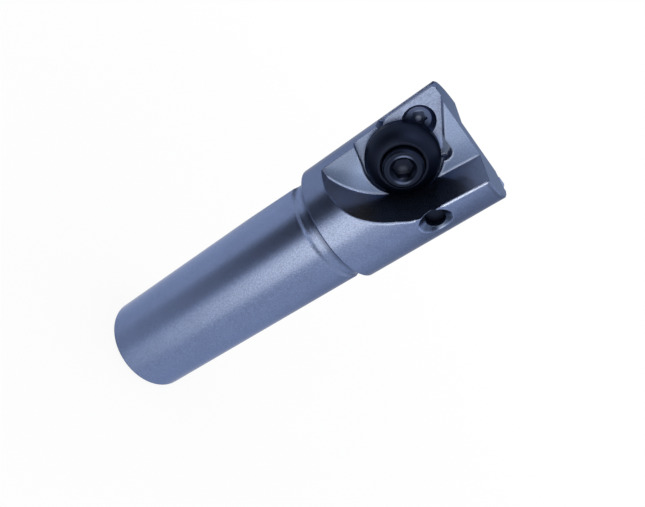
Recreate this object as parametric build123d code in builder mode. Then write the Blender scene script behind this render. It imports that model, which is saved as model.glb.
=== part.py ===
"""Indexable face mill: a straight shank, a head with two chip gullets, two triangular inserts.

Millimetres, +Z up. The tool stands on the flat end of its shank, which lies at z = 0 round the
origin. The first gullet is open towards -Y and its cutting edge looks towards -X. The second one
is the first turned half a turn about Z.
"""

from math import cos, radians, sin, sqrt, tan
import os

from build123d import *

# Shank and neck
shank_d = 25.0
shank_length = 66.0
shank_end_chamfer = 1.0
neck_d = 24.0
neck_length = 3.1

# Clamping flat, which leans in towards the head
flat_start = 42.0
flat_lean = 2.0
flat_heading = 155.0

# Head
head_d = 28.0
head_length = 34.0
head_edge = 0.3
head_front_edge = 0.25

# Chip gullet, measured from the axis (levels) and from the rear of the head (lengths)
gullet_level = 2.8
gullet_draft = 3.0
gullet_rear = 5.9
gullet_wall = 1.9
gullet_wall_lean = 4.2
gullet_wall_from = 20.5
gullet_side_turn = -11.5
gullet_mid = (-3.4, 10.5)

# Insert: inscribed circle, thickness, wiper facet and bevel at each corner, relief of the sides
insert_circle = 9.0
insert_thick = 3.18
insert_wiper = 2.4
insert_corner = 0.4
insert_relief = 11.0
insert_level = 1.1
insert_edge_radius = 14.2
insert_tip_over = 0.15
insert_hole_d = 4.2
insert_sink_d = 7.1
insert_sink_angle = 60.0

# Screw of the insert
insert_screw_d = 3.6
insert_screw_sunk = 1.5
insert_screw_length = 4.6
insert_screw_socket = 2.7

# Clamp button
clamp_across = -5.6
clamp_along = 20.9
button_d = 15.8
button_rim = 1.9
button_top_d = 10.2
button_height = 5.05
button_bulge = 0.35
button_bore_d = 9.2
button_base = 1.85
button_hole_d = 5.5

# Screw of the clamp button
clamp_screw_d = 4.5
clamp_screw_head_d = 8.5
clamp_screw_head = 5.0
clamp_screw_edge = 0.5
clamp_screw_length = 12.0
clamp_screw_socket = 4.0
clamp_screw_socket_depth = 2.6
clamp_screw_mouth_d = 5.6
clamp_exit_d = 4.2
clamp_exit_sink_d = 6.4

# Room left round the parts that go in
thread_room = 0.05
button_room = 0.6
tip_room = 1.0
corner_slot_d = 3.75
corner_slot_from = -5.0
corner_slot_to = -1.9
corner_slot_along = 28.25
corner_slot_floor = -0.3
recess_rear = 12.9
recess_side = 14.6

head_end = shank_length + head_length
shank_r = shank_d / 2
neck_r = neck_d / 2
head_r = head_d / 2
beyond = head_d

# The insert is an equilateral triangle, so its side and height follow from the circle in it
insert_in_r = insert_circle / 2
insert_foot_r = insert_in_r - insert_thick * tan(radians(insert_relief))
insert_side = insert_circle * sqrt(3)
insert_across = insert_in_r - insert_edge_radius
tip_drop = insert_wiper / sqrt(3)
insert_along = head_length + insert_tip_over + tip_drop - insert_side / 2
pocket_level = insert_level - insert_thick


def head_plane(level):
    """Plane parallel to the axis that looks out of the first gullet: x across, y along the axis."""
    return Plane(origin=(0, -level, shank_length), x_dir=(1, 0, 0), z_dir=(0, -1, 0))


# Everything the cutters take out of one side of the head
with BuildPart() as gullet:
    far_wall = gullet_wall + (beyond * 2 - gullet_wall_from) * tan(radians(gullet_wall_lean))
    with BuildSketch(head_plane(gullet_level)):
        with BuildLine():
            Line((-beyond, gullet_rear), (gullet_side_turn, gullet_rear))
            ThreePointArc(
                (gullet_side_turn, gullet_rear), gullet_mid, (gullet_wall, gullet_wall_from)
            )
            Line((gullet_wall, gullet_wall_from), (far_wall, beyond * 2))
            Line((far_wall, beyond * 2), (-beyond, beyond * 2))
            Line((-beyond, beyond * 2), (-beyond, gullet_rear))
        make_face()
    extrude(amount=head_r, taper=-gullet_draft)

    # Seat of the clamp button, open to the outside behind the insert
    with BuildSketch(head_plane(insert_level)):
        with Locations((clamp_across, clamp_along)):
            Circle(button_d / 2 + button_room)
        with BuildLine():
            Polyline(
                (clamp_across - button_d / 6, recess_rear),
                (-head_r, recess_side),
                (-beyond, recess_side),
                (-beyond, clamp_along),
                (clamp_across, clamp_along),
                close=True,
            )
        make_face()
    extrude(amount=head_d)

    # Slot that clears the inner corner of the insert
    with BuildSketch(head_plane(corner_slot_floor)):
        with Locations(((corner_slot_from + corner_slot_to) / 2, corner_slot_along)):
            SlotCenterToCenter(corner_slot_to - corner_slot_from, corner_slot_d)
    extrude(amount=head_d)

    # Pocket of the insert, with walls that lean as the sides of the insert do
    pocket_rise = gullet_level - pocket_level + 0.5
    corner_across = insert_across + 2 * insert_foot_r
    with BuildSketch(head_plane(pocket_level)):
        with BuildLine():
            Polyline(
                (corner_across, insert_along),
                (corner_across - beyond * sqrt(3) / 2, insert_along + beyond / 2),
                (corner_across - beyond * sqrt(3) / 2, insert_along - beyond / 2),
                close=True,
            )
        make_face()
    extrude(amount=pocket_rise, taper=-insert_relief)

    # Hole of the insert screw
    with BuildSketch(head_plane(pocket_level)):
        with Locations((insert_across, insert_along)):
            Circle(insert_screw_d / 2 + thread_room)
    extrude(amount=-insert_screw_length)

    # Hole of the clamp screw, narrower where it comes out on the other flank
    clamp_tip_level = insert_level + button_base - clamp_screw_length
    with BuildSketch(head_plane(insert_level)):
        with Locations((clamp_across, clamp_along)):
            Circle(clamp_screw_d / 2 + thread_room)
    extrude(amount=clamp_tip_level - tip_room - insert_level)
    with BuildSketch(head_plane(insert_level)):
        with Locations((clamp_across, clamp_along)):
            Circle(clamp_exit_d / 2)
    extrude(amount=-head_d)

    # Countersink square to the flank round the mouth of that hole
    exit_y = sqrt(head_r**2 - clamp_across**2)
    exit_plane = Plane(
        origin=(clamp_across, exit_y, shank_length + clamp_along),
        x_dir=(0, 0, 1),
        z_dir=(clamp_across, exit_y, 0),
    )
    with Locations(exit_plane):
        Cone(
            0.5,
            clamp_exit_sink_d / 2 + 0.5,
            clamp_exit_sink_d / 2,
            align=(Align.CENTER, Align.CENTER, Align.MAX),
        )

with BuildPart() as cutter_body:
    # Shank, neck and head in one turning
    with BuildSketch(Plane.XZ):
        with BuildLine():
            Polyline(
                (0, 0),
                (shank_r - shank_end_chamfer, 0),
                (shank_r, shank_end_chamfer),
                (shank_r, shank_length - neck_length - (shank_r - neck_r)),
                (neck_r, shank_length - neck_length),
                (neck_r, shank_length),
                (head_r - head_edge, shank_length),
                (head_r, shank_length + head_edge),
                (head_r, head_end - head_front_edge),
                (head_r - head_front_edge, head_end),
                (0, head_end),
                close=True,
            )
        make_face()
    revolve(axis=Axis.Z)

    # Clamping flat
    flat_drop = (shank_length - flat_start) * tan(radians(flat_lean))
    flat_x = cos(radians(flat_heading))
    flat_y = sin(radians(flat_heading))
    with BuildSketch(Plane(origin=(0, 0, 0), x_dir=(flat_x, flat_y, 0), z_dir=(flat_y, -flat_x, 0))):
        with BuildLine():
            Polyline(
                (shank_r, flat_start),
                (shank_r - flat_drop, shank_length),
                (shank_r + 1, shank_length),
                (shank_r + 1, flat_start),
                close=True,
            )
        make_face()
    extrude(amount=shank_r, both=True, mode=Mode.SUBTRACT)

    with PolarLocations(0, 2):
        add(gullet.part, mode=Mode.SUBTRACT)

with BuildPart() as insert_1:
    # Each corner has a facet square to the cutting edge before it, with a small bevel between them
    facet_at = insert_side / 2 - tip_drop
    corner = (
        (-insert_in_r, facet_at - insert_corner),
        (-insert_in_r + insert_corner, facet_at),
        (-insert_in_r + insert_wiper, facet_at),
    )
    outline = [
        Vector(*point).rotate(Axis.Z, turn) for turn in (0, -120, -240) for point in corner
    ]
    with BuildSketch(head_plane(insert_level)):
        with Locations((insert_across, insert_along)):
            Polygon(*outline, align=None)
    extrude(amount=-insert_thick, taper=insert_relief)
    with BuildSketch(head_plane(pocket_level)):
        with Locations((insert_across, insert_along)):
            Circle(insert_hole_d / 2)
    extrude(amount=insert_thick, mode=Mode.SUBTRACT)
    sink_depth = (insert_sink_d - insert_hole_d) / 2 / tan(radians(insert_sink_angle / 2))
    with BuildSketch(head_plane(insert_level)):
        with Locations((insert_across, insert_along)):
            Circle(insert_sink_d / 2)
    extrude(amount=-sink_depth, taper=insert_sink_angle / 2, mode=Mode.SUBTRACT)

with BuildPart() as insert_screw_1:
    # The head lies on the countersink of the insert
    screw_face = insert_level - insert_screw_sunk
    screw_head_r = insert_sink_d / 2 - insert_screw_sunk * tan(radians(insert_sink_angle / 2))
    screw_head = (screw_head_r - insert_screw_d / 2) / tan(radians(insert_sink_angle / 2))
    screw_tip = pocket_level - insert_screw_length + tip_room
    with BuildSketch(head_plane(screw_face)):
        with Locations((insert_across, insert_along)):
            Circle(screw_head_r)
    extrude(amount=-screw_head, taper=insert_sink_angle / 2)
    with BuildSketch(head_plane(screw_face)):
        with Locations((insert_across, insert_along)):
            Circle(insert_screw_d / 2)
    extrude(amount=screw_tip - screw_face)
    with BuildSketch(head_plane(screw_face)):
        with Locations((insert_across, insert_along)):
            Circle(insert_screw_socket / 2)
            with PolarLocations(insert_screw_socket / 2, 6):
                Circle(insert_screw_socket / 7)
    extrude(amount=-insert_screw_socket / 2, mode=Mode.SUBTRACT)

with BuildPart() as clamp_button_1:
    # Turned about its own axis, with a slope that bulges a little
    button_plane = Plane(
        origin=(clamp_across, -insert_level, shank_length + clamp_along),
        x_dir=(1, 0, 0),
        z_dir=(0, 0, 1),
    )
    rim_r = button_d / 2
    top_r = button_top_d / 2
    slope_mid_r = (rim_r + top_r) / 2 + button_bulge
    slope_mid_height = (button_rim + button_height) / 2 + button_bulge
    with BuildSketch(button_plane):
        with BuildLine():
            Polyline((0, -button_height), (0, 0), (rim_r, 0), (rim_r, -button_rim))
            ThreePointArc(
                (rim_r, -button_rim),
                (slope_mid_r, -slope_mid_height),
                (top_r, -button_height),
            )
            Line((top_r, -button_height), (0, -button_height))
        make_face()
    button_axis = Axis((clamp_across, 0, shank_length + clamp_along), (0, 1, 0))
    revolve(axis=button_axis)
    with BuildSketch(head_plane(insert_level + button_base)):
        with Locations((clamp_across, clamp_along)):
            Circle(button_bore_d / 2)
    extrude(amount=button_height, mode=Mode.SUBTRACT)
    with BuildSketch(head_plane(insert_level)):
        with Locations((clamp_across, clamp_along)):
            Circle(button_hole_d / 2)
    extrude(amount=button_height, mode=Mode.SUBTRACT)

with BuildPart() as clamp_screw_1:
    head_floor = insert_level + button_base
    with BuildSketch(head_plane(head_floor)):
        with Locations((clamp_across, clamp_along)):
            Circle(clamp_screw_head_d / 2)
    extrude(amount=clamp_screw_head)
    chamfer(clamp_screw_1.edges().sort_by(Axis.Y)[0], length=clamp_screw_edge)
    with BuildSketch(head_plane(head_floor)):
        with Locations((clamp_across, clamp_along)):
            Circle(clamp_screw_d / 2)
    extrude(amount=-clamp_screw_length)
    with BuildSketch(head_plane(head_floor + clamp_screw_head)):
        with Locations((clamp_across, clamp_along)):
            RegularPolygon(clamp_screw_socket / 2, 6, major_radius=False)
    extrude(amount=-clamp_screw_socket_depth, mode=Mode.SUBTRACT)
    with Locations(head_plane(head_floor + clamp_screw_head)):
        with Locations((clamp_across, clamp_along)):
            Cone(
                clamp_screw_socket / 2,
                clamp_screw_mouth_d / 2,
                (clamp_screw_mouth_d - clamp_screw_socket) / 2,
                align=(Align.CENTER, Align.CENTER, Align.MAX),
                mode=Mode.SUBTRACT,
            )

# The second set is the first turned half a turn
with BuildPart() as insert_2:
    add(insert_1.part, rotation=(0, 0, 180))
with BuildPart() as insert_screw_2:
    add(insert_screw_1.part, rotation=(0, 0, 180))
with BuildPart() as clamp_button_2:
    add(clamp_button_1.part, rotation=(0, 0, 180))
with BuildPart() as clamp_screw_2:
    add(clamp_screw_1.part, rotation=(0, 0, 180))

os.makedirs("parts", exist_ok=True)
cutter_body.part.label = "cutter_body"
export_step(cutter_body.part, "parts/cutter_body.step")
insert_1.part.label = "insert_1"
export_step(insert_1.part, "parts/insert_1.step")
insert_2.part.label = "insert_2"
export_step(insert_2.part, "parts/insert_2.step")
insert_screw_1.part.label = "insert_screw_1"
export_step(insert_screw_1.part, "parts/insert_screw_1.step")
insert_screw_2.part.label = "insert_screw_2"
export_step(insert_screw_2.part, "parts/insert_screw_2.step")
clamp_button_1.part.label = "clamp_button_1"
export_step(clamp_button_1.part, "parts/clamp_button_1.step")
clamp_button_2.part.label = "clamp_button_2"
export_step(clamp_button_2.part, "parts/clamp_button_2.step")
clamp_screw_1.part.label = "clamp_screw_1"
export_step(clamp_screw_1.part, "parts/clamp_screw_1.step")
clamp_screw_2.part.label = "clamp_screw_2"
export_step(clamp_screw_2.part, "parts/clamp_screw_2.step")
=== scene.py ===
"""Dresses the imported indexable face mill: finishes, rounded edges and a pale studio stage."""

import math

import bmesh
import bpy
from mathutils import Matrix, Vector

bl_info = {
    "name": "Indexable Face Mill",
    "version": (1, 0, 0),
    "blender": (4, 5, 0),
    "location": "3D View > Sidebar > Face Mill",
    "description": "Finishes, edge rounding and a studio stage for an indexable face mill",
    "category": "Object",
}

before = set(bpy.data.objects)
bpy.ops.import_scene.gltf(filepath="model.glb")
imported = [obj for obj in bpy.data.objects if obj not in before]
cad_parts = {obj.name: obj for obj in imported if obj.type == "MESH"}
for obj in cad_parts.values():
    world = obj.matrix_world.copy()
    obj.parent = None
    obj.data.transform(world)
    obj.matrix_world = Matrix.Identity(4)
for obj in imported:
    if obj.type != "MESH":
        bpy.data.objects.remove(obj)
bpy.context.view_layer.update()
MM = 0.001


def mm(*lengths):
    """Lengths given in millimetres, in metres."""
    return tuple(length * MM for length in lengths)


# Places in each gullet: how far from the tool's middle towards the insert, and how high.
CLAMP_AXIS = mm(5.6, 86.9)
INSERT_SCREW_AXIS = mm(9.75, 93.87)
EXIT_AXIS = (-CLAMP_AXIS[0], CLAMP_AXIS[1])
CLAMP_SPOT = mm(4.5, 86.15)
INSERT_SCREW_SPOT = mm(9.4, 93.6)
# Centre of the painted light that keeps the milled flats pale below the clamps.
FILL_LIGHT_AT = mm(4.8, 78.3)
# Centre of the painted light on the insert beside the clamp.
LIT_CORNER = mm(1.6, 93.6)

# How far from one of those places a finish starts to change, and where it has changed.
BUTTON_EDGE = mm(8.3, 8.6)
EXIT_EDGE = mm(3.9, 4.3)
FILL_LIGHT_EDGE = mm(1.0, 7.0)
LIT_EDGE = mm(5.0, 2.0)
INSERT_HOLE_EDGE = mm(3.6, 3.5)

CLAMP_SOCKET = 2.2 * MM
INSERT_SCREW_SOCKET = 1.3 * MM
# Round a socket, in socket radii: the ring of painted highlight on its rim, the middle of each
# arc of painted highlight on that ring, how far that arc and the painted highlight at the
# socket's bottom reach, and the arcs' strength on each side.
HIGHLIGHT_RING = (1.14, 1.28, 1.36, 1.5)
HIGHLIGHT_ARC = (1.07, 0.77)
ARC_REACH = (1.1, 0.2)
SPOT_REACH = (0.65, 0.2)
ARC_SHARES = ((1.0, 0.7), (-1.0, 0.5))

# Where the body's finish changes, in mm up the tool. A mask rises from 0 to 1 over the first
# two heights and falls again over the last two.
LEVELS = {
    "gullet": (69.5, 70.5, 99.9, 99.97),
    "rubbed": (69.5, 70.5, 99.3, 99.9),
    # The gullets' middle, where the walls get their darkest painted shade.
    "painted_light": (75.0, 79.0, 91.0, 98.0),
    "lip": (65.9, 66.1, 78.0, 95.0),
    "shoulder": (64.0, 65.1, 65.95, 66.05),
    "step": (62.2, 62.4, 62.95, 63.05),
    "step_rounding": (61.2, 62.2, 63.0, 64.0),
}
# Masks that rise from 0 to 1 once, in mm: up the tool, out from its axis, and across it.
UPWARDS = {"front": (98.9, 99.5), "rear": (76.0, 74.0)}
OUTWARDS = {
    "under_skin": (13.9, 13.6),
    "outer": (13.5, 13.75),
    "rim": (12.8, 13.3),
    "groove": (12.49, 12.45),
}
ACROSS = {"to_lip": (8.5, 12.5), "off_lip": (12.2, 11.4)}
# Where the gullets' walls turn pale and matt towards their ends, as painted light: from which
# height, up to which, and how much.
LIT_WALL_ENDS = ((90.0, 103.0, 0.56), (76.0, 70.5, 0.28))

# Width of one cloud of the staining.
STAIN_WIDTH = 9 * MM
# Width of the grinding lines, coarser than real, which is too fine to show, and their turn
# in degrees.
GRINDING_LINE = 0.25 * MM
GRINDING_TURN = 25.0
# Nearly all the values of a noise pattern lie between these two.
NOISE_SPAN = (0.35, 0.65)
# How far y falls for each step along x, in the plane between the two gullets.
GULLET_LEAN = 0.25
# Cosines of the turn where a rounded edge starts to get its wear and painted highlight, and
# where it fully does.
EDGE_TURN = (0.992, 0.92)
EDGE_SAMPLES = 6

# Half the floor's width in metres, how far from its middle the shadow starts to fade and has
# faded, and how white the camera sees the floor at each.
FLOOR_HALF_WIDTH = 3.0
SHADOW_EDGE = mm(60, 350)
SHADOW_WHITE = (0.9, 1.0)

# Soft upright patches of light on the white studio walls: the heading and half width in
# degrees, the sines of the heights above the horizon over which the patch fades in and out,
# and the light that it adds. Less light is a dark curtain.
STUDIO_PATCHES = (
    (-154.0, 33.0, (-0.85, -0.3, 0.3, 0.7), (-1.0, -1.0, -1.0)),
    (100.0, 50.0, (-0.95, -0.75, -0.5, -0.3), (0.3, 0.27, 0.2)),
    (-100.5, 30.0, (-0.76, -0.31, 0.0, 0.25), (2.2, 1.8, 1.15)),
    (-72.0, 30.0, (-0.42, -0.3, -0.05, 0.1), (0.6, 0.5, 0.35)),
    (-100.0, 45.0, (0.2, 0.4, 0.6, 0.8), (-0.8, -0.8, -0.8)),
    (50.0, 75.0, (-0.55, -0.42, -0.2, 0.0), (-0.25, -0.25, -0.25)),
    (10.0, 40.0, (-0.32, -0.2, -0.02, 0.12), (-0.3, -0.3, -0.3)),
    (64.0, 45.0, (-0.2, -0.05, 0.3, 0.5), (-0.61, -0.54, -0.435)),
    (108.0, 42.0, (-0.2, 0.0, 0.55, 0.85), (-0.8, -0.8, -0.8)),
)
# The share of its half width over which a patch is at full strength.
PATCH_CORE = 0.2
# The least light of the walls, and how it dims towards the ground: between which sines of
# the height, and to what share.
LEAST_LIGHT = 0.05
GROUND_EDGE = (-0.92, -0.76)
GROUND_LIGHT = (0.3, 1.0)
# Name, place in metres, width in metres and watts of each soft lamp.
LAMPS = (
    ("soft_key", (-0.25, -0.35, 0.55), 0.35, 0.6),
    ("soft_fill", (0.45, 0.1, 0.4), 0.4, 0.3),
)
LAMP_AIM = (0.0, 0.0, 0.05)

# The camera that was fitted to the photograph: heading, height and roll in degrees, the point
# of the axis that it turns round, how far away it stands and how far it is slid left and down,
# in mm, and its focal length and picture width in pixels.
CAMERA_TURN = (-25.83, 23.95, 58.16)
CAMERA_AIM = 66.0
CAMERA_AWAY = 132.7
CAMERA_SLID = (4.01, 7.19)
FOCAL_PIXELS = 580.0
WIDTH_PIXELS = 645.0
SENSOR_WIDTH = 36.0


def linear(hex_colour):
    """sRGB hex colour as linear red, green and blue."""
    parts = [int(hex_colour[i : i + 2], 16) / 255 for i in (1, 3, 5)]
    return tuple(
        c / 12.92 if c <= 0.04045 else ((c + 0.055) / 1.055) ** 2.4 for c in parts
    )


def rgba(colour, gain=1.0):
    """Linear colour, made lighter or darker by the gain, with full alpha."""
    return tuple(min(1.0, c * gain) for c in colour) + (1.0,)


# Keeps the fine dents' dull look where a face is seen edge on, instead of a white gleam.
DULL_EDGE = rgba(linear("#C8CEDE"))


def colour_property(name, hex_colour, description):
    return bpy.props.FloatVectorProperty(
        name=name,
        description=description,
        default=linear(hex_colour),
        subtype="COLOR",
        size=3,
        min=0.0,
        max=1.0,
    )


def length_property(name, millimetres, description):
    return bpy.props.FloatProperty(
        name=name,
        description=description,
        default=millimetres * MM,
        min=0.0,
        subtype="DISTANCE",
        unit="LENGTH",
        precision=5,
    )


class FaceMillFinishes(bpy.types.PropertyGroup):
    """Colours and grain of the finishes. Real grain is too fine to show, so it is coarser."""

    steel: colour_property(
        "Body steel", "#6B7A9F", "Blasted tool steel of the shank and head"
    )
    # Wear and painted highlight: rounded edges are mixed towards this brighter colour.
    edge_wear_and_highlight: colour_property(
        "Worn edge", "#BFD0F8", "Brighter steel where the edges are rubbed"
    )
    milled: colour_property(
        "Milled steel", "#889BC1", "Milled flats in the gullets, paler than the body"
    )
    # Painted shade: the gullet walls are darker than the body, most of all in the gullets'
    # middle beside the clamps.
    gullet: colour_property(
        "Gullet wall", "#46536E", "Oiled walls of the gullets, darker than the body"
    )
    # Painted shade at both ends of the gullets, lighter than in their middle.
    gullet_ends: colour_property(
        "Gullet's dry ends", "#626167", "Both ends of the gullets, where less oil stays"
    )
    carbide: colour_property("Carbide", "#8292B6", "Ground top of the inserts")
    # Painted light: the insert beside the clamp is made lighter and bluer.
    carbide_lit: colour_property(
        "Oiled carbide", "#97AEE6", "Insert beside the clamp, where oil stays"
    )
    screw_steel: colour_property(
        "Insert screw", "#485679", "Oiled steel of the small insert screws"
    )
    black: colour_property(
        "Black oxide", "#141B2E", "Oiled black oxide of the clamp buttons and screws"
    )
    # Painted highlight at the bottoms of the sockets.
    socket_highlight: colour_property(
        "Bare steel", "#C0D0F8", "Bottoms of the sockets, rubbed bare by the keys"
    )
    blast_grain: length_property(
        "Blast grain", 0.28, "Width of one dent of the blasted steel, coarser than real"
    )
    carbide_grain: length_property(
        "Carbide grain", 0.3, "Width of one speck of the insert, coarser than real"
    )
    black_grain: length_property(
        "Black grain", 0.2, "Width of one speck of the black oxide, coarser than real"
    )


class FaceMillEdges(bpy.types.PropertyGroup):
    """Rounding of the edges."""

    body: length_property("Milled edge", 0.8, "Radius of the deburred edges of the gullets")
    turned: length_property("Turned edge", 0.3, "Radius of the shank's and neck's edges")
    insert: length_property("Insert hone", 0.08, "Radius of the honed insert edges")
    button: length_property("Button edge", 0.25, "Radius of the clamp buttons' rims")
    fine: length_property("Fine edge", 0.1, "Radius of the front end's rim")
    step: length_property("Neck step", 1.2, "Blasted step from the shank to the neck")


def add_node(tree, kind, links=None, **settings):
    """Adds a node. Links maps an input's name or number to a socket or a plain value."""
    made = tree.nodes.new(kind)
    for name, value in settings.items():
        setattr(made, name, value)
    for name, value in (links or {}).items():
        if isinstance(value, bpy.types.NodeSocket):
            tree.links.new(value, made.inputs[name])
        else:
            made.inputs[name].default_value = value
    return made


def new_material(name):
    """An empty node material, its tree and its output."""
    material = bpy.data.materials.new(name)
    material.use_nodes = True
    material.node_tree.nodes.clear()
    output = add_node(material.node_tree, "ShaderNodeOutputMaterial")
    return material, material.node_tree, output


def maths(tree, operation, *values):
    """The values taken together two at a time by one operation."""
    total = values[0]
    for value in values[1:]:
        total = add_node(
            tree, "ShaderNodeMath", {0: total, 1: value}, operation=operation
        ).outputs[0]
    return total


def product(tree, *values):
    return maths(tree, "MULTIPLY", *values)


def largest(tree, *values):
    return maths(tree, "MAXIMUM", *values)


def ramp(tree, value, span=(0.0, 1.0), result=(0.0, 1.0), soft=False):
    """Goes from the first result to the second while the value crosses the span."""
    return add_node(
        tree,
        "ShaderNodeMapRange",
        {
            "Value": value,
            "From Min": span[0],
            "From Max": span[1],
            "To Min": result[0],
            "To Max": result[1],
        },
        interpolation_type="SMOOTHSTEP" if soft else "LINEAR",
    ).outputs["Result"]


def band(tree, value, rise, fall):
    """Rises softly from 0 to 1 over the first pair of values and falls over the second."""
    return product(
        tree,
        ramp(tree, value, rise, soft=True),
        ramp(tree, value, (fall[1], fall[0]), soft=True),
    )


def blend(tree, factor, first, second):
    """The first colour where the factor is 0, and the second where it is 1."""
    return add_node(
        tree,
        "ShaderNodeMix",
        {"Factor": factor, 6: first, 7: second},
        data_type="RGBA",
    ).outputs[2]


def scaled(tree, colour, gain):
    return add_node(
        tree, "ShaderNodeVectorMath", {0: colour, "Scale": gain}, operation="SCALE"
    ).outputs[0]


def split(tree, vector):
    return add_node(tree, "ShaderNodeSeparateXYZ", {"Vector": vector}).outputs


def noise(tree, place, width, detail, roughness=0.5):
    """Cloudy pattern with patches of about this width."""
    return add_node(
        tree,
        "ShaderNodeTexNoise",
        {
            "Vector": place,
            "Scale": 1.0 / width,
            "Detail": detail,
            "Roughness": roughness,
        },
    ).outputs["Fac"]


def distance_from(tree, place, across, height):
    """Distance from a line along the screws of each gullet.

    The line is this far from the tool's middle, towards the insert, and at this height. The
    plane between the two gullets leans a little, so that the sockets' bottoms stay with their
    own gullet.
    """
    parts = split(tree, place)
    leaning = add_node(
        tree,
        "ShaderNodeMath",
        {0: parts["X"], 1: GULLET_LEAN, 2: parts["Y"]},
        operation="MULTIPLY_ADD",
    )
    half = add_node(tree, "ShaderNodeMath", {0: leaning.outputs[0]}, operation="SIGN")
    at = add_node(
        tree,
        "ShaderNodeCombineXYZ",
        {"X": product(tree, parts["X"], half.outputs[0]), "Y": 0.0, "Z": parts["Z"]},
    )
    return add_node(
        tree,
        "ShaderNodeVectorMath",
        {0: at.outputs[0], 1: (across, 0.0, height)},
        operation="DISTANCE",
    ).outputs["Value"]


def rounded_normal(tree, radius):
    """Normal that turns round the edges, and how far it has turned, from 0 to 1."""
    bevel = add_node(tree, "ShaderNodeBevel", {"Radius": radius}, samples=EDGE_SAMPLES)
    flat = add_node(tree, "ShaderNodeNewGeometry")
    turn = add_node(
        tree,
        "ShaderNodeVectorMath",
        {0: bevel.outputs["Normal"], 1: flat.outputs["True Normal"]},
        operation="DOT_PRODUCT",
    )
    turned = ramp(tree, turn.outputs["Value"], EDGE_TURN, soft=True)
    return bevel.outputs["Normal"], turned


def bumped(tree, height, strength, depth, normal):
    """The normal with a fine relief of this depth on it."""
    return add_node(
        tree,
        "ShaderNodeBump",
        {"Strength": strength, "Distance": depth, "Height": height, "Normal": normal},
    ).outputs["Normal"]


def finish_metal(tree, output, colour, metallic, roughness, normal):
    """The one shader of every metal here."""
    shader = add_node(
        tree,
        "ShaderNodeBsdfPrincipled",
        {
            "Base Color": colour,
            "Metallic": metallic,
            "Roughness": roughness,
            "Normal": normal,
            "Specular Tint": DULL_EDGE,
        },
    )
    tree.links.new(shader.outputs["BSDF"], output.inputs["Surface"])


def body_masks(tree, place):
    """Masks of the body's regions by name, each from 0 to 1."""
    parts = split(tree, place)
    flat_place = add_node(
        tree,
        "ShaderNodeVectorMath",
        {0: place, 1: (1.0, 1.0, 0.0)},
        operation="MULTIPLY",
    )
    outwards = add_node(
        tree, "ShaderNodeVectorMath", {0: flat_place.outputs[0]}, operation="LENGTH"
    )
    across = add_node(tree, "ShaderNodeMath", {0: parts["X"]}, operation="ABSOLUTE")
    masks = {
        name: band(tree, parts["Z"], mm(*level[:2]), mm(*level[2:]))
        for name, level in LEVELS.items()
    }
    for value, spans in (
        (parts["Z"], UPWARDS),
        (outwards.outputs["Value"], OUTWARDS),
        (across.outputs[0], ACROSS),
    ):
        for name, span in spans.items():
            masks[name] = ramp(tree, value, mm(*span))
    facing = add_node(tree, "ShaderNodeNewGeometry").outputs["True Normal"]
    level = add_node(
        tree, "ShaderNodeMath", {0: split(tree, facing)["Y"]}, operation="ABSOLUTE"
    )
    masks["scrubbed"] = largest(
        tree,
        ramp(tree, level.outputs[0], (0.985, 0.998)),
        *(
            ramp(tree, parts["Z"], mm(start, end), (0.0, share), soft=True)
            for start, end, share in LIT_WALL_ENDS
        ),
    )
    masks["cut"] = product(tree, masks["gullet"], masks["under_skin"])
    masks["milled"] = product(tree, masks["cut"], masks["scrubbed"])
    masks["rear_rim"] = product(tree, masks["rim"], masks["rear"])
    return masks


def body_colour(tree, place, masks, finishes):
    """Blasted outside, gullet walls in painted shade, and pale flats with painted light below
    the clamps.
    """
    # Painted shade: the walls are darker in the gullets' middle and paler at their ends.
    wall = blend(
        tree, masks["painted_light"], rgba(finishes.gullet_ends), rgba(finishes.gullet)
    )
    painted_light = blend(tree, masks["cut"], rgba(finishes.steel), wall)
    # Painted light: the milled flats are made paler below the clamp, where its shadow falls.
    fill_light = ramp(
        tree,
        distance_from(tree, place, *FILL_LIGHT_AT),
        FILL_LIGHT_EDGE,
        (1.8, 1.0),
        soft=True,
    )
    pale = scaled(tree, finishes.milled, fill_light)
    return blend(tree, masks["milled"], painted_light, pale)


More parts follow.
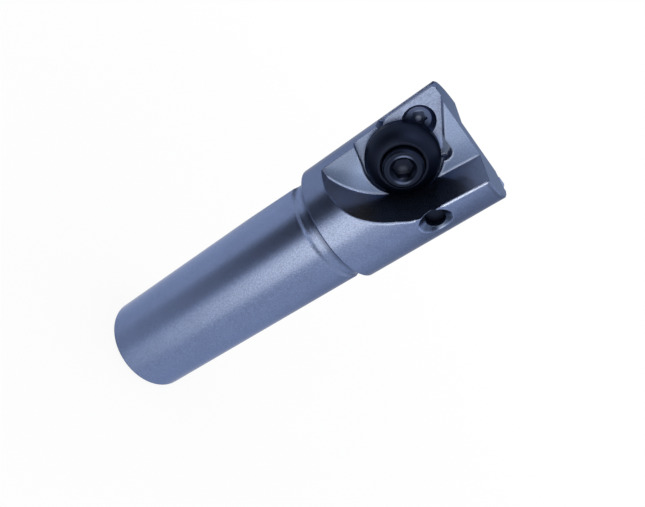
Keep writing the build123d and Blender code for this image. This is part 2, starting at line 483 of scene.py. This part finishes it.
def blasted_steel(finishes, edges):
    """Tool steel, milled, hardened and bead blasted.

    The blasting leaves fine round dents, so the metal is satin and its lights have soft edges.
    The milled flats in the gullets scatter more, and painted light makes them paler still below
    the dark clamps. The gullet walls carry painted shade, darkest in their middle and pale and
    matt towards their ends. The edges there, deburred by hand, are rounded, and wear and
    painted highlight draw bright lines on them. Painted shade darkens the rims of the end and
    the shoulder, the rear rim and the head beside the lip in soft darker lines.
    """
    material, tree, output = new_material("blasted_tool_steel")
    place = add_node(tree, "ShaderNodeTexCoord").outputs["Object"]
    masks = body_masks(tree, place)
    grain = noise(tree, place, finishes.blast_grain, detail=3.0, roughness=0.6)
    cloud = noise(tree, place, STAIN_WIDTH, detail=3.0, roughness=0.55)

    # Painted shade: darker at the front rim, along the shoulder and on the head beside the lip.
    painted_shade = largest(
        tree,
        product(tree, masks["front"], masks["outer"]),
        masks["shoulder"],
        product(tree, masks["to_lip"], masks["lip"], 0.45),
    )
    shade = product(
        tree,
        ramp(tree, grain, NOISE_SPAN, (0.82, 1.2)),
        ramp(tree, cloud, result=(0.92, 1.08)),
        ramp(tree, painted_shade, result=(1.0, 0.6)),
    )
    clouded = scaled(tree, body_colour(tree, place, masks, finishes), shade)

    deburred = product(
        tree,
        masks["rubbed"],
        masks["off_lip"],
        ramp(tree, distance_from(tree, place, *CLAMP_AXIS), BUTTON_EDGE),
        ramp(tree, masks["rear_rim"], result=(1.0, 0.0)),
        ramp(tree, distance_from(tree, place, *EXIT_AXIS), EXIT_EDGE),
    )
    radius = ramp(tree, masks["front"], result=(edges.turned, edges.fine))
    radius = ramp(tree, masks["step_rounding"], result=(radius, edges.step))
    radius = ramp(tree, deburred, result=(radius, edges.body))
    round_normal, turned = rounded_normal(tree, radius)

    # Wear and painted highlight: the deburred edges, and the inner edges of the front end, are
    # mixed towards the bright edge colour.
    wear_and_highlight_strength = largest(
        tree,
        ramp(tree, deburred, result=(0.1, 2.0)),
        product(tree, masks["front"], ramp(tree, masks["rim"], result=(0.9, 0.0))),
    )
    patchiness = ramp(tree, cloud, NOISE_SPAN, (0.35, 0.75))
    rub = ramp(tree, product(tree, turned, patchiness, wear_and_highlight_strength))
    rubbed = blend(tree, rub, clouded, rgba(finishes.edge_wear_and_highlight))
    # Painted shade on the rear rim, dimming the light of its rounded edge.
    shaded_rear_rim = product(tree, turned, masks["rear_rim"])
    colour = scaled(tree, rubbed, ramp(tree, shaded_rear_rim, result=(1.0, 0.45)))

    matt = largest(
        tree,
        masks["milled"],
        product(tree, masks["cut"], 0.1),
        product(tree, masks["groove"], masks["step"], 0.3),
    )
    finish_metal(
        tree,
        output,
        colour,
        metallic=ramp(tree, matt, result=(0.97, 0.25)),
        roughness=ramp(tree, grain, result=(0.18, 0.28)),
        normal=bumped(tree, grain, 0.5, 0.02 * MM, round_normal),
    )
    return material


def ground_carbide(finishes, edges):
    """Sintered tungsten carbide, ground on its faces.

    It is a little greyer than the steel, with specks from the sintering and faint grinding
    lines across the top. Its countersink is polished, so it mirrors the dark screw. Painted
    light makes it lighter and bluer beside the clamp, and wear and painted highlight brighten
    its honed edges.
    """
    material, tree, output = new_material("ground_tungsten_carbide")
    place = add_node(tree, "ShaderNodeTexCoord").outputs["Object"]
    speck = noise(tree, place, finishes.carbide_grain, detail=3.0, roughness=0.65)
    along = add_node(
        tree,
        "ShaderNodeMapping",
        {"Vector": place, "Rotation": (0.0, math.radians(GRINDING_TURN), 0.0)},
    )
    stretched = add_node(
        tree,
        "ShaderNodeVectorMath",
        {0: along.outputs["Vector"], 1: (1.0, 1.0, 0.06)},
        operation="MULTIPLY",
    )
    lines = noise(tree, stretched.outputs["Vector"], GRINDING_LINE, detail=1.0)
    relief = add_node(
        tree, "ShaderNodeMath", {0: lines, 1: 0.5, 2: speck}, operation="MULTIPLY_ADD"
    )
    specked = blend(
        tree,
        ramp(tree, speck, NOISE_SPAN),
        rgba(finishes.carbide, 0.78),
        rgba(finishes.carbide, 1.25),
    )
    # Painted light: the insert is made lighter and bluer beside the clamp.
    lit_share = ramp(
        tree,
        distance_from(tree, place, *LIT_CORNER),
        LIT_EDGE,
        (0.0, 0.8),
        soft=True,
    )
    painted_light = blend(tree, lit_share, specked, rgba(finishes.carbide_lit))
    round_normal, turned = rounded_normal(tree, edges.insert)
    # Wear and painted highlight on the honed edges.
    colour = blend(tree, product(tree, turned, 0.35), painted_light, rgba(finishes.edge_wear_and_highlight))
    off_screw = distance_from(tree, place, *INSERT_SCREW_AXIS)
    finish_metal(
        tree,
        output,
        colour,
        metallic=ramp(tree, off_screw, INSERT_HOLE_EDGE, (0.55, 1.0)),
        roughness=0.36,
        normal=bumped(tree, relief.outputs[0], 0.3, 0.015 * MM, round_normal),
    )
    return material


def black_oxide(name, colour, finishes, edges, axis, socket, spot, spot_at):
    """Turned steel with oiled black oxide, deep on the clamps and thin on the insert screws.

    The thin dark layer lets a little blue light back, evenly and softly. Painted highlights
    brighten the socket's bottom, in a light spot, and its rim, in a faint ring and two light
    arcs on opposite sides, with a little wear and painted highlight on the rounded edges. Axis
    is where the screws stand, socket the socket's radius, spot the spot's strength and spot_at
    its place, a little beside the axis.
    """
    material, tree, output = new_material(name)
    place = add_node(tree, "ShaderNodeTexCoord").outputs["Object"]
    speck = noise(tree, place, finishes.black_grain, detail=2.0, roughness=0.6)
    shade = blend(tree, speck, rgba(colour, 0.6), rgba(colour, 1.4))
    round_normal, turned = rounded_normal(tree, edges.button)
    # Painted highlights: a faint ring round the socket and two brighter arcs on it, with wear
    # and highlight on the edges.
    ring = [socket * reach for reach in HIGHLIGHT_RING]
    rim = band(tree, distance_from(tree, place, *axis), ring[:2], ring[2:])
    light = largest(tree, product(tree, turned, 0.13), product(tree, rim, 0.02))
    for side, share in ARC_SHARES:
        arc_at = [at + side * socket * reach for at, reach in zip(axis, HIGHLIGHT_ARC)]
        arc = ramp(
            tree,
            distance_from(tree, place, *arc_at),
            [socket * reach for reach in ARC_REACH],
            (0.0, share),
            soft=True,
        )
        light = largest(tree, light, product(tree, rim, arc))
    rubbed = blend(tree, light, shade, rgba(finishes.steel))
    # Painted highlight at the socket's bottom.
    spot_highlight = ramp(
        tree,
        distance_from(tree, place, *spot_at),
        [socket * reach for reach in SPOT_REACH],
        (0.0, spot),
        soft=True,
    )
    finish_metal(
        tree,
        output,
        blend(tree, spot_highlight, rubbed, rgba(finishes.socket_highlight)),
        metallic=0.8,
        roughness=ramp(tree, speck, result=(0.34, 0.46)),
        normal=bumped(tree, speck, 0.2, 0.01 * MM, round_normal),
    )
    return material


def paint(piece, material):
    """The piece gets this one material."""
    piece.data.materials.clear()
    piece.data.materials.append(material)


class FACEMILL_OT_cutter_body(bpy.types.Operator):
    """Blasted steel on the shank and head"""

    bl_idname = "facemill.cutter_body"
    bl_label = "Finish the cutter body"

    def execute(self, context):
        settings = context.scene
        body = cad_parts["cutter_body"]
        paint(body, blasted_steel(settings.face_mill_finishes, settings.face_mill_edges))
        return {"FINISHED"}


class FACEMILL_OT_inserts(bpy.types.Operator):
    """Ground carbide on the two triangular inserts"""

    bl_idname = "facemill.inserts"
    bl_label = "Finish the inserts"

    def execute(self, context):
        settings = context.scene
        carbide = ground_carbide(settings.face_mill_finishes, settings.face_mill_edges)
        for name in ("insert_1", "insert_2"):
            paint(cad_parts[name], carbide)
        return {"FINISHED"}


class FACEMILL_OT_black_parts(bpy.types.Operator):
    """Black oxide on the clamp buttons and all the screws"""

    bl_idname = "facemill.black_parts"
    bl_label = "Finish the clamps and screws"

    def execute(self, context):
        settings = context.scene
        finishes, edges = settings.face_mill_finishes, settings.face_mill_edges
        black = black_oxide(
            "black_oxide_steel",
            finishes.black,
            finishes,
            edges,
            axis=CLAMP_AXIS,
            socket=CLAMP_SOCKET,
            spot=0.07,
            spot_at=CLAMP_SPOT,
        )
        thin = black_oxide(
            "thin_oxide_steel",
            finishes.screw_steel,
            finishes,
            edges,
            axis=INSERT_SCREW_AXIS,
            socket=INSERT_SCREW_SOCKET,
            spot=1.0,
            spot_at=INSERT_SCREW_SPOT,
        )
        for name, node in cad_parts.items():
            if "insert_screw" in name:
                paint(node, thin)
            elif "clamp" in name:
                paint(node, black)
        return {"FINISHED"}


def floor_finish():
    """Matt white card: white to the camera, with a faint shadow left in it round the tool."""
    material, tree, output = new_material("matt_white_card")
    path = add_node(tree, "ShaderNodeLightPath")
    card = add_node(
        tree, "ShaderNodeBsdfDiffuse", {"Color": rgba(linear("#F4F5F7"))}
    )
    lit = add_node(
        tree, "ShaderNodeEmission", {"Color": (1.0, 1.0, 1.0, 1.0), "Strength": 1.0}
    )
    place = add_node(tree, "ShaderNodeTexCoord").outputs["Object"]
    away = add_node(tree, "ShaderNodeVectorMath", {0: place}, operation="LENGTH")
    white = ramp(tree, away.outputs["Value"], SHADOW_EDGE, SHADOW_WHITE, soft=True)
    mixed = add_node(
        tree,
        "ShaderNodeMixShader",
        {
            0: product(tree, path.outputs["Is Camera Ray"], white),
            1: card.outputs[0],
            2: lit.outputs[0],
        },
    )
    tree.links.new(mixed.outputs[0], output.inputs["Surface"])
    return material


def studio_patch(tree, way, heading, half_width, heights, light):
    """The light of one of the studio patches, seen along this way."""
    flat_way = add_node(
        tree, "ShaderNodeVectorMath", {0: way, 1: (1.0, 1.0, 0.0)}, operation="MULTIPLY"
    )
    level_way = add_node(
        tree, "ShaderNodeVectorMath", {0: flat_way.outputs[0]}, operation="NORMALIZE"
    )
    a = math.radians(heading)
    close = add_node(
        tree,
        "ShaderNodeVectorMath",
        {0: level_way.outputs[0], 1: (math.cos(a), math.sin(a), 0.0)},
        operation="DOT_PRODUCT",
    )
    fade = (
        math.cos(math.radians(half_width)),
        math.cos(math.radians(half_width * PATCH_CORE)),
    )
    mask = product(
        tree,
        ramp(tree, close.outputs["Value"], fade, soft=True),
        band(tree, split(tree, way)["Z"], heights[:2], heights[2:]),
    )
    return scaled(tree, light, mask)


class FACEMILL_OT_stage(bpy.types.Operator):
    """White floor, soft studio light and the camera"""

    bl_idname = "facemill.stage"
    bl_label = "Build the stage"

    def execute(self, context):
        scene = context.scene
        scene.view_settings.view_transform = "Standard"
        self.build_floor(scene)
        self.build_world(scene)
        self.build_lamps(scene)
        self.build_camera(scene)
        return {"FINISHED"}

    def build_floor(self, scene):
        shape = bmesh.new()
        bmesh.ops.create_grid(shape, x_segments=1, y_segments=1, size=FLOOR_HALF_WIDTH)
        mesh = bpy.data.meshes.new("floor")
        shape.to_mesh(mesh)
        shape.free()
        floor = bpy.data.objects.new("floor", mesh)
        scene.collection.objects.link(floor)
        paint(floor, floor_finish())
        floor.visible_glossy = False

    def build_world(self, scene):
        """White walls with the studio patches, darker below, and white to the camera."""
        world = bpy.data.worlds.new("studio")
        world.use_nodes = True
        tree = world.node_tree
        tree.nodes.clear()
        path = add_node(tree, "ShaderNodeLightPath")
        way = add_node(tree, "ShaderNodeTexCoord").outputs["Generated"]
        walls = (1.0, 1.0, 1.0)
        for patch in STUDIO_PATCHES:
            walls = add_node(
                tree,
                "ShaderNodeVectorMath",
                {0: walls, 1: studio_patch(tree, way, *patch)},
                operation="ADD",
            ).outputs[0]
        walls = add_node(
            tree,
            "ShaderNodeVectorMath",
            {0: walls, 1: (LEAST_LIGHT,) * 3},
            operation="MAXIMUM",
        ).outputs[0]
        ground = ramp(tree, split(tree, way)["Z"], GROUND_EDGE, GROUND_LIGHT, soft=True)
        seen = blend(
            tree,
            path.outputs["Is Camera Ray"],
            scaled(tree, walls, ground),
            (1.0, 1.0, 1.0, 1.0),
        )
        back = add_node(tree, "ShaderNodeBackground", {"Color": seen, "Strength": 1.0})
        output = add_node(tree, "ShaderNodeOutputWorld")
        tree.links.new(back.outputs[0], output.inputs["Surface"])
        scene.world = world

    def build_lamps(self, scene):
        for name, place, width, power in LAMPS:
            lamp = bpy.data.lights.new(name, "AREA")
            lamp.size = width
            lamp.energy = power
            made = bpy.data.objects.new(name, lamp)
            made.location = place
            aim = Vector(LAMP_AIM) - Vector(place)
            made.rotation_euler = aim.to_track_quat("-Z", "Y").to_euler()
            scene.collection.objects.link(made)

    def build_camera(self, scene):
        heading, height, roll = (math.radians(a) for a in CAMERA_TURN)
        back = Vector(
            (
                math.sin(heading) * math.cos(height),
                -math.cos(heading) * math.cos(height),
                math.sin(height),
            )
        )
        level = Vector((math.cos(heading), math.sin(heading), 0.0))
        upright = back.cross(level)
        right = level * math.cos(roll) + upright * math.sin(roll)
        top = -level * math.sin(roll) + upright * math.cos(roll)
        lens = bpy.data.cameras.new("camera")
        lens.sensor_width = SENSOR_WIDTH
        lens.lens = SENSOR_WIDTH * FOCAL_PIXELS / WIDTH_PIXELS
        lens.clip_start = 0.005
        lens.clip_end = 10.0
        camera = bpy.data.objects.new("camera", lens)
        slid = right * CAMERA_SLID[0] + top * CAMERA_SLID[1]
        place = Vector((0.0, 0.0, CAMERA_AIM)) + back * CAMERA_AWAY - slid
        turn = Matrix((right, top, back)).transposed().to_4x4()
        camera.matrix_world = Matrix.Translation(place * MM) @ turn
        scene.collection.objects.link(camera)
        scene.camera = camera


OPERATORS = (
    FACEMILL_OT_cutter_body,
    FACEMILL_OT_inserts,
    FACEMILL_OT_black_parts,
    FACEMILL_OT_stage,
)


class FACEMILL_PT_panel(bpy.types.Panel):
    """Steps and settings of the face mill"""

    bl_idname = "FACEMILL_PT_panel"
    bl_label = "Face Mill"
    bl_space_type = "VIEW_3D"
    bl_region_type = "UI"
    bl_category = "Face Mill"

    def draw(self, context):
        for group in (context.scene.face_mill_finishes, context.scene.face_mill_edges):
            for name in group.__annotations__:
                self.layout.prop(group, name)
        for operator in OPERATORS:
            self.layout.operator(operator.bl_idname)


CLASSES = (FaceMillFinishes, FaceMillEdges) + OPERATORS + (FACEMILL_PT_panel,)


def register():
    for made in CLASSES:
        bpy.utils.register_class(made)
    bpy.types.Scene.face_mill_finishes = bpy.props.PointerProperty(type=FaceMillFinishes)
    bpy.types.Scene.face_mill_edges = bpy.props.PointerProperty(type=FaceMillEdges)


def unregister():
    del bpy.types.Scene.face_mill_edges
    del bpy.types.Scene.face_mill_finishes
    for made in reversed(CLASSES):
        bpy.utils.unregister_class(made)


def main():
    """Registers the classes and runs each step."""
    register()
    bpy.ops.facemill.cutter_body()
    bpy.ops.facemill.inserts()
    bpy.ops.facemill.black_parts()
    bpy.ops.facemill.stage()


if __name__ == "__main__":
    main()
